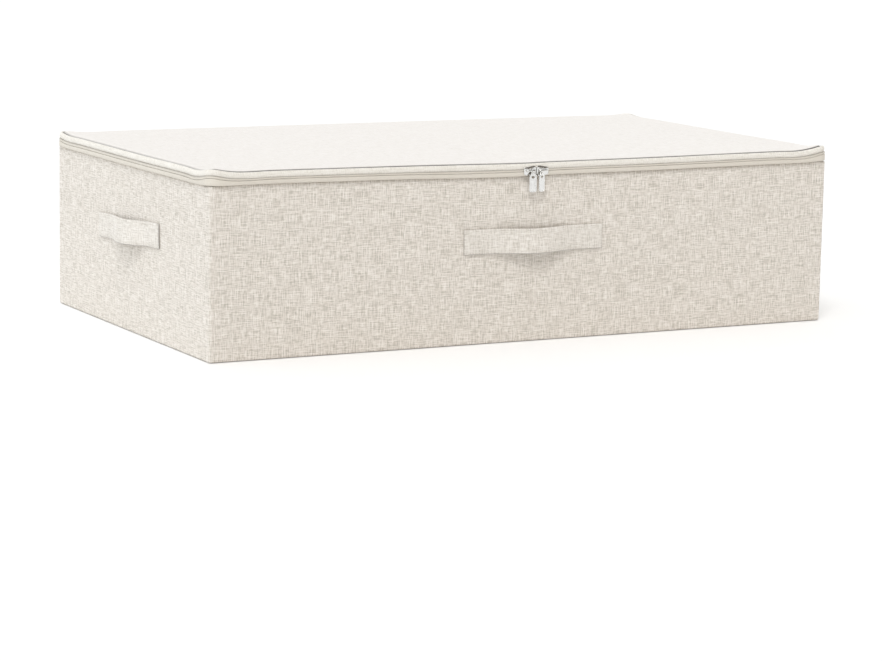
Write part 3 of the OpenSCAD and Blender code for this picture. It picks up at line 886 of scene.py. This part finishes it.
# the rim rows are painted shade where the lid cloth goes under the piping
lid_cloth = panel("lid_cloth", (-lid_half[0], -lid_half[1]), lid_half, 7 * MM, 0.0065, lid_height,
                  linen_lid,
                  rim=[(0.2 * MM, -0.5 * MM, 1.0), (0.28 * MM, -1.0 * MM, 1.0), (0.3 * MM, -1.9 * MM, 1.0)],
                  extra_x=insert_extra, bend=10, shade_at=lid_shade)
fit_sheet(lid_cloth, 0.6 * MM, "lid", "lid_cover")

ll_lo, ll_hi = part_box("lid_lining")


def lid_lining_height(x, y):
    edge = min(ll_hi.x - abs(x), ll_hi.y - abs(y))
    puff = 0.35 * ease(0.002, 0.04, edge) + 0.25 * wave(x * 9, y * 9, 3.3) * ease(0, 0.04, edge)
    return settle(x, y, ll_lo.z) + (0.05 - max(0.0, puff) + 0.35 * bell(x, 1.8 * MM)) * MM


# the rim rows' last values are painted shade where the lining turns over at its edge
lid_lining = panel("lid_lining_cloth", ll_lo.xy, ll_hi.xy, 3 * MM, 0.010, lid_lining_height, lining_mat,
                   rim=[(0.1 * MM, 0.15 * MM, 0.4), (0.12 * MM, 0.4 * MM, 0.8)], extra_x=insert_extra,
                   flip=True, bend=3)
fit_sheet(lid_lining, 0.4 * MM, "lid", "lid_lining")


# ---- strap handles


def strap_height(a, half, tab, bow):
    """How far the strap's middle layer stands out from the wall, at the distance a from its centre."""
    t = min(1.0, abs(a) / (half - tab))
    return 1.2 * MM + bow * (0.5 + 0.5 * math.cos(math.pi * t)) ** 0.8


def strap_profile(width, thick):
    """A flat strap's section: soft edges, and two shallow lines where it is stitched along them."""
    pts = []
    half = width / 2
    edge = [half, half - 0.25 * MM, half - 0.8 * MM]
    ws = [-w for w in edge] + steps(-half + 1.6 * MM, half - 1.6 * MM, 1.0 * MM) + edge[::-1]
    for w in ws:
        t = max(0.0, 1 - abs(w / half) ** 14) ** 0.5 * 0.92 + 0.08
        t -= 0.22 * bell(abs(w) - (half - 2.6 * MM), 0.7 * MM)
        pts.append((w, t * thick / 2))
    return pts + [(w, -t) for w, t in pts[::-1][1:-1]]


def stitch_rows(name, body, rows, radius=0.28 * MM, length=2.5 * MM, pitch=3.4 * MM):
    """Thread stitches. Each row is a list of (point, outward normal), close together."""
    verts, faces, uvs = [], [], []
    for row in rows:
        dist = [0.0]
        for (p, _), (q, _) in zip(row, row[1:]):
            dist.append(dist[-1] + (q - p).length)
        count = max(1, round(dist[-1] / pitch))
        real = dist[-1] / count

        def along(d, row=row, dist=dist):
            d = min(max(d, 0.0), dist[-1])
            i = next(k for k in range(1, len(dist)) if d <= dist[k] + 1e-12)
            t = (d - dist[i - 1]) / max(1e-9, dist[i] - dist[i - 1])
            return row[i - 1][0].lerp(row[i][0], t), row[i - 1][1].lerp(row[i][1], t).normalized()

        for c in range(count):
            mid = (c + 0.5) * real
            half = length / pitch * real / 2
            p0, n = along(mid - half)
            p1, _ = along(mid + half)
            d = (p1 - p0).normalized()
            side = d.cross(n).normalized()
            base = len(verts)
            for t, r, up in [(0, 0.35, -0.6), (0.12, 0.85, 0.0), (0.5, 1.0, 0.55), (0.88, 0.85, 0.0),
                             (1, 0.35, -0.6)]:
                centre = p0.lerp(p1, t) + n * (up * radius)
                for m in range(6):
                    a = math.pi / 3 * m
                    verts.append(centre + (side * math.cos(a) + n * math.sin(a)) * r * radius)
            for k in range(4):
                near, far = k * 0.6 * MM, (k + 1) * 0.6 * MM
                for m in range(6):
                    a, b = base + k * 6 + m, base + k * 6 + (m + 1) % 6
                    faces.append([a, b, b + 6, a + 6])
                    uvs.append([(near, m / 6), (near, (m + 1) / 6), (far, (m + 1) / 6), (far, m / 6)])
            faces += [[base + 5 - m for m in range(6)], [base + 24 + m for m in range(6)]]
            uvs += [[(0, m / 6) for m in range(6)]] * 2
    obj = piece(name, verts, faces, uvs, thread_mat)
    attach(obj, body)
    return obj


def strap(side, node, along, out):
    """A doubled strap of the wall's cloth, sewn flat at both ends and standing clear of the wall between."""
    lo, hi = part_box(node)
    centre = (lo + hi) / 2
    half = max(hi.x - lo.x, hi.y - lo.y) / 2
    width = hi.z - lo.z
    tab, thick, hem = 30 * MM, 2.4 * MM, 2.6 * MM
    inner, outer, high = half - tab + 2 * MM, half - hem, width / 2 - hem
    wall = Vector((0, -WALL_HY,
                   0)) if side == "front" else Vector((-WALL_HX if side == "left" else WALL_HX, 0, 0))
    base = Vector((centre.x if side == "front" else 0, centre.y if side != "front" else 0, centre.z)) + wall
    section = strap_profile(width, thick)
    bow = 0.6 * (min(hi.x - lo.x, hi.y - lo.y) - thick)
    seed = {"front": 1.0, "left": 4.0, "right": 7.0}[side]
    askew = 0.045 if side == "left" else 0.0

    def place(a, w, t):
        """The point at a along the strap, w up from its middle and t out from its middle layer."""
        free = 0.5 + 0.5 * math.cos(math.pi * min(1.0, abs(a) / (half - tab)))
        h = strap_height(a, half, tab, bow)
        e = 0.2 * MM
        slope = (strap_height(a + e, half, tab, bow) - strap_height(a - e, half, tab, bow)) / (2 * e)
        d = 1 / math.sqrt(1 + slope * slope)
        lean = math.radians(-12.0) * free
        sag = -1.0 * MM * free + 0.25 * MM * wave(a * 30, 0, seed)
        curl = 0.25 * MM * wave(a * 40, w * 60, seed + 1) * free
        up = w * math.cos(lean) - t * math.sin(lean)
        outward = h + (t + curl) * d + w * math.sin(lean)
        run = a - t * slope * d
        return base + along * (run - askew * up) + out * outward + Vector((0, 0, up + sag + askew * run))

    stations = [-half, -half + 0.2 * MM, -half + 0.7 * MM] + steps(-half + 1.6 * MM, half - 1.6 * MM,
                                                                   2.6 * MM)
    stations += [half - 0.7 * MM, half - 0.2 * MM, half]
    rows = []
    for a in stations:
        end = half - abs(a)
        squeeze = 0.35 + 0.65 * min(1.0, end / (1.2 * MM)) ** 0.5
        sewn = bell(abs(a) - outer, 0.8 * MM) + bell(abs(a) - inner, 0.8 * MM)
        bar = 1 - 0.16 * sewn
        narrow = 0.985 + 0.015 * min(1.0, end / (1 * MM))
        rows.append([place(a, w * narrow, t * squeeze * bar) for w, t in section])
    faces, uvs = lattice(rows, [a + 2 * seed for a in stations], lengths(section + section[:1]),
                         close_v=True)
    cap_faces, cap_uvs = end_caps(section, len(rows))
    faces += cap_faces
    uvs += cap_uvs
    end_shade = 1.0 if side == "left" else 0.5
    def strap_shade(a, w, t):
        """Painted shade and shadow: darker towards the wall, along the strap's edges and at its ends."""
        edge = (1.0 if w < 0 else 0.4) * ease(width / 2 - 0.9 * MM, width / 2, abs(w))
        return max(0.7 if t < -0.2 * MM else 0.0, edge,
                   end_shade - end_shade * ease(0.2 * MM, 1.1 * MM, half - abs(a)))

    shade = [strap_shade(a, w, t) for a in stations for w, t in section]
    obj = piece("handle_strap_" + side, [v for row in rows for v in row], faces, uvs, linen_strap, shade)
    fit(obj, "box", node)

    def face_point(a, w):
        return place(a, w, thick / 2 * 0.78), (place(a, w, thick) - place(a, w, 0)).normalized()

    lines = []
    for sign in (-1, 1):
        ends = [sign * inner, sign * outer]
        for w in (-high, high):
            lines.append([face_point(ends[0] + (ends[1] - ends[0]) * k / 12, w) for k in range(13)])
        for a in ends:
            lines.append([face_point(a, -high + 2 * high * k / 12) for k in range(13)])
    for w in (-high, high):
        lines.append([face_point(-inner + 2 * inner * k / 60, w) for k in range(61)])
    threads = stitch_rows("handle_stitches_" + side, "box", lines)


strap("front", "front_handle", Vector((1, 0, 0)), Vector((0, -1, 0)))
strap("left", "left_handle", Vector((0, -1, 0)), Vector((-1, 0, 0)))
strap("right", "right_handle", Vector((0, 1, 0)), Vector((1, 0, 0)))

# ---- stitching inside


def ring_row(ring, out, up, height):
    """A closed row of points round the box, for stitches on a level face that looks up (1) or down (-1)."""
    row = []
    for s in ring.stations(0, ring.length, 0.006, bend=6):
        p, n = ring.at(s)
        x, y = p.x + n.x * out, p.y + n.y * out
        row.append((Vector((x, y, height(x, y))), Vector((0, 0, up))))
    return row


def insert_stitch_height(x, y):
    return insert_top(x, y) + 0.1 * MM


def channel_row(x):
    """A row along the channel between the insert's boards."""
    ys = steps(ins_lo.y + 5 * MM, ins_hi.y - 5 * MM, 0.01)
    return [(Vector((x, y, insert_stitch_height(x, y))), Vector((0, 0, 1))) for y in ys]


insert_ring = Ring(ins_hi.x, ins_hi.y, 6 * MM)
insert_rows = [ring_row(insert_ring, -4.5 * MM, 1, insert_stitch_height), channel_row(-3.2 * MM),
               channel_row(3.2 * MM)]
stitch_rows("insert_stitches", "base_insert", insert_rows, pitch=3.6 * MM)
lining_edge = Ring(ll_hi.x, ll_hi.y, 3 * MM)
lining_row = ring_row(lining_edge, -2.2 * MM, -1, lambda x, y: lid_lining_height(x, y) - 0.05 * MM)
stitch_rows("lid_lining_stitches", "lid", [lining_row], pitch=3.6 * MM)

# ---- zip sliders and pulls


def inset_loop(points, amount):
    """A closed outline moved inward."""
    n = len(points)
    out = []
    for i in range(n):
        a, b, c = Vector(points[i - 1]), Vector(points[i]), Vector(points[(i + 1) % n])
        t = (c - a).normalized()
        out.append(b + Vector((-t.y, t.x)) * amount)
    return out


def rounded_outline(corners, radii, bend=5):
    """A polygon, anticlockwise, with each corner rounded."""
    pts = []
    n = len(corners)
    for i in range(n):
        a, b, c = Vector(corners[i - 1]), Vector(corners[i]), Vector(corners[(i + 1) % n])
        u, v = (a - b).normalized(), (c - b).normalized()
        half = math.acos(max(-1, min(1, u.dot(v)))) / 2
        r = radii[i]
        cut = r / math.tan(half)
        start, end = b + u * cut, b + v * cut
        centre = b + (u + v).normalized() * (r / math.sin(half))
        a0 = math.atan2(start.y - centre.y, start.x - centre.x)
        a1 = math.atan2(end.y - centre.y, end.x - centre.x)
        while a1 < a0 - 1e-6:
            a1 += 2 * math.pi
        for k in range(bend + 1):
            t = a0 + (a1 - a0) * k / bend
            pts.append(centre + Vector((math.cos(t), math.sin(t))) * r)
    return pts


class Metal:
    """Closed shells gathered in one mesh. A point is (along, up, out)."""

    def __init__(self):
        self.verts, self.faces = [], []

    def shells(self, loops, close=False):
        base, n = len(self.verts), len(loops[0])
        for loop in loops:
            self.verts += [Vector(p) for p in loop]
        m = len(loops)
        for k in range(m if close else m - 1):
            for i in range(n):
                a, b = base + k * n, base + (k + 1) % m * n
                self.faces.append([a + i, a + (i + 1) % n, b + (i + 1) % n, b + i])
        if not close:
            self.faces.append([base + i for i in range(n - 1, -1, -1)])
            self.faces.append([base + (m - 1) * n + i for i in range(n)])

    def plate(self, outline, low, high, bevel, dome=0.0):
        """A plate from low to high out, with eased edges and a low dome on its outer face."""
        def at(inset, level):
            return [(p.x, p.y, level) for p in inset_loop(outline, inset)]
        loops = [at(bevel, low), at(0, low + bevel), at(0, high - bevel),
                 at(bevel * 0.35, high - bevel * 0.35), at(bevel, high)]
        if dome:
            middle = sum((Vector(p) for p in outline), Vector((0, 0))) / len(outline)
            for share in (0.75, 0.5, 0.25):
                loops.append([(middle.x + (p.x - middle.x) * share, middle.y + (p.y - middle.y) * share,
                               high + dome * (1 - share ** 2))
                              for p in outline])
        self.shells(loops)

    def bar(self, path, sizes, sides=12):
        """A bar through points (along, up, out); sizes are (half width up, half thickness)."""
        loops = []
        for k, p in enumerate(path):
            p = Vector(p)
            d = (Vector(path[min(k + 1, len(path) - 1)]) - Vector(path[max(k - 1, 0)])).normalized()
            up = Vector((0, 1, 0))
            out = d.cross(up).normalized()
            w, t = sizes[k]
            loops.append([p + up * (w * math.cos(2 * math.pi * m / sides))
                          + out * (t * math.sin(2 * math.pi * m / sides)) for m in range(sides)])
        self.shells(loops)

    def build(self, name, body, node, place):
        """Makes the piece; place turns (along, up, out) in millimetres into a point of the frame."""
        blank_map = [[(0.0, 0.0)] * len(f) for f in self.faces]
        obj = piece(name, [place(v) for v in self.verts], self.faces, blank_map, metal_mat)
        face_outward(obj)
        fit(obj, body, node)


def face_outward(obj):
    """Turns the shells' faces outward and keeps their eased edges crisp."""
    bm = bmesh.new()
    bm.from_mesh(obj.data)
    bmesh.ops.recalc_face_normals(bm, faces=bm.faces)
    bm.to_mesh(obj.data)
    bm.free()
    obj.data.set_sharp_from_angle(angle=math.radians(34))
    even = obj.modifiers.new("even shading", "WEIGHTED_NORMAL")
    even.keep_sharp = True


def slider(side):
    """A zip slider: a domed outer plate with lips, a bridge for the pull, a post and an inner plate."""
    sign = 1 if side == "right" else -1
    node = "slider_" + side
    lo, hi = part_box(node)
    near = lo.x if side == "right" else hi.x
    long = (hi.x - lo.x) / MM
    tall = (hi.z - lo.z) / 2 / MM
    body = Metal()
    shoulder, tip = long * 0.30, tall * 0.66
    corners = [(0, -tall), (shoulder, -tall), (long, -tip), (long, tip), (shoulder, tall), (0, tall)]
    outline = rounded_outline(corners, [2.2, 3, 1.9, 1.9, 3, 2.2])
    body.plate(outline, 0.45, 1.5, 0.32, dome=0.28)
    for s in (-1, 1):
        lip = []
        for u in (2.6, 5, 8, 11.4):
            reach = tall * (0.97 if u < 4 else 0.97 - 0.36 * (u - 4) / long)
            lip.append((u, s * reach - s * 0.35, 0.45))
        body.bar(lip, [(0.38, 0.34)] * 4, sides=8)
    bridge = [(2.2, 1.2), (2.25, 2.3), (2.7, 3.3), (3.7, 3.75), (5.2, 3.78), (6.75, 3.78), (8.3, 3.78),
              (9.8, 3.75), (10.8, 3.3), (11.25, 2.3), (11.3, 1.2)]
    sizes = [(1.35, 0.75), (1.2, 0.62), (1.0, 0.58), (0.82, 0.6), (0.7, 0.68)]
    sizes += [(0.68, 0.68)] + sizes[::-1]
    wide, narrow = tall * 0.64, tall * 0.52
    inner = rounded_outline([(0.2, -wide), (long - 0.2, -narrow), (long - 0.2, narrow), (0.2, wide)],
                            [1.4] * 4)
    body.plate(inner, -3.85, -2.65, 0.3)
    post = rounded_outline([(0.3, -1.1), (3.4, -0.25), (3.4, 0.25), (0.3, 1.1)], [0.3, 0.2, 0.2, 0.3])
    body.plate(post, -2.8, 0.6, 0.1)
    # the zip sags where the plates are; the bridge, added after, stays on the pull's axis
    body.verts = [v - Vector((0, 0.6, 0)) for v in body.verts]
    body.bar([(u, 0, o) for u, o in bridge], sizes)

    def place(v):
        return Vector((near + sign * v.x * MM, -BAND_HY - v.z * MM, ZIP_Z + v.y * MM))

    body.build("zip_slider_" + side, node, node, place)


def pull(side, turn):
    """A pull tab: an eye round the slider's bridge, and a plate with a raised border and a window."""
    node = "pull_" + side
    lo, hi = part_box(node)
    swing = next(joint for joint in frame["joints"] if joint["name"] == node + "_swing")
    axis = Vector(((lo.x + hi.x) / 2, swing["pos_m"][1], ZIP_Z))
    half, low = (hi.x - lo.x) / 2 / MM, (lo.z - ZIP_Z) / MM
    right_side = [(half, low), (half, -6), (half * 0.9, -4.3), (1.6, -1.2)]
    corners = [(-x, y) for x, y in right_side[::-1]] + right_side
    outline = rounded_outline(corners, [0.5, 1.4, 1, 2.0, 2.0, 1, 1.4, 0.5])
    middle = Vector((0, -6.3))
    window = []
    for p in outline:
        a = math.atan2(p.y - middle.y, p.x - middle.x)
        c, s = math.cos(a), math.sin(a)
        reach = (abs(c / 1.75) ** 3 + abs(s / 1.25) ** 3) ** (-1 / 3)
        window.append(middle + Vector((c, s)) * reach)
    t = 0.65

    def loop(points, level):
        return [(p.x, p.y, level) for p in points]

    tab = Metal()
    rings = [(inset_loop(outline, amount), t - down)
             for amount, down in [(0.0, 0.22), (0.07, 0.07), (0.22, 0), (0.85, 0), (1.0, 0.28)]]
    rings += [([w + (w - middle) * share for w in window], t - down) for share,
              down in [(0.14, 0.28), (0.03, 0.34)]]
    loops = [loop(p, level) for p, level in rings] + [loop(p, -level) for p, level in rings[::-1]]
    tab.shells(loops, close=True)
    eye, count = Metal(), 28
    section = [(-1.6, 1.25), (-1.45, 1.12), (1.45, 1.12), (1.6, 1.25), (1.6, 1.72), (1.42, 1.9),
               (-1.42, 1.9), (-1.6, 1.72)]
    loops = []
    for k in range(count):
        a = 2 * math.pi * k / count
        loops.append([(x, r * math.cos(a), r * math.sin(a)) for x, r in section])
    eye.shells(loops, close=True)
    turned = Matrix.Rotation(turn, 3, "Y")
    base = len(tab.verts)
    tab.verts = [turned @ v if v.y < -1.9 else (turned @ v).lerp(v, ease(-1.9, -1.2, v.y))
                 for v in tab.verts]
    tab.verts += eye.verts
    tab.faces += [[base + i for i in f] for f in eye.faces]

    def place(v):
        return Vector((axis.x + v.x * MM, axis.y - v.z * MM, axis.z + v.y * MM))

    tab.build("zip_pull_" + side, node, node, place)


slider("left")
slider("right")
pull("left", 0.0)
pull("right", math.radians(24))

# ---- floor, light and camera


def make_floor():
    k = Nodes("floor")
    place = k.object_map()
    share = k.noise(k.mapped(place, (3, 3, 3)), 4.0)
    k.set(Base_Color=k.colour(share, [(0.2, (0.95, 0.95, 0.95)), (0.8, (0.97, 0.97, 0.97))]),
          Roughness=0.9, Specular_IOR_Level=0.1,
          Emission_Color=(1, 1, 1, 1), Emission_Strength=0.05)
    mesh = bpy.data.meshes.new("floor")
    reach = 30
    corners = [(-reach, -reach, 0), (reach, -reach, 0), (reach, reach, 0), (-reach, reach, 0)]
    mesh.from_pydata(corners, [], [[0, 1, 2, 3]])
    mesh.materials.append(k.owner)
    obj = bpy.data.objects.new("floor", mesh)
    scene.collection.objects.link(obj)


make_floor()

# the world's light depends on its direction only: bright from behind the camera, warm and dim from the right
studio = Nodes("studio", "BACKGROUND", bpy.data.worlds)
scene.world = studio.owner
looking = studio.add("TexCoord").outputs["Generated"]
dot = studio.add("VectorMath", {0: looking, 1: (0.42, -0.90, -0.05)}, operation="DOT_PRODUCT")
world_stops = [(0.0, (0.955, 0.985, 1.0)), (0.30, (0.95, 0.945, 0.935)), (0.62, (0.48, 0.44, 0.39)),
               (0.95, (0.21, 0.18, 0.15))]
studio.put(studio.shader.inputs["Color"], studio.colour(dot.outputs["Value"], world_stops))
studio.put(studio.shader.inputs["Strength"], 0.875)

key_data = bpy.data.lights.new("key", "SUN")
key_data.energy, key_data.angle, key_data.color = 1.15, math.radians(22), (1.0, 0.99, 0.98)
key = bpy.data.objects.new("key", key_data)
key.rotation_euler = Vector((0.28, 0.42, -0.81)).to_track_quat("-Z", "Y").to_euler()
scene.collection.objects.link(key)

camera_data = bpy.data.cameras.new("camera")
camera_data.lens, camera_data.sensor_width = 123.16, 36
camera = bpy.data.objects.new("camera", camera_data)
yaw, pitch, roll = math.radians(28.01), math.radians(-9.44), math.radians(1.06)
forward = Vector((math.sin(yaw) * math.cos(pitch), math.cos(yaw) * math.cos(pitch), math.sin(pitch)))
right = Vector((math.cos(yaw), -math.sin(yaw), 0))
up = right.cross(forward)
across = right * math.cos(roll) + up * math.sin(roll)
upright = up * math.cos(roll) - right * math.sin(roll)
place = Matrix.Translation((-1.4694, -2.7699, 0.5012))
camera.matrix_world = place @ Matrix((across, upright, -forward)).transposed().to_4x4()
camera_data.clip_start, camera_data.clip_end = 0.1, 100
scene.collection.objects.link(camera)
scene.camera = camera
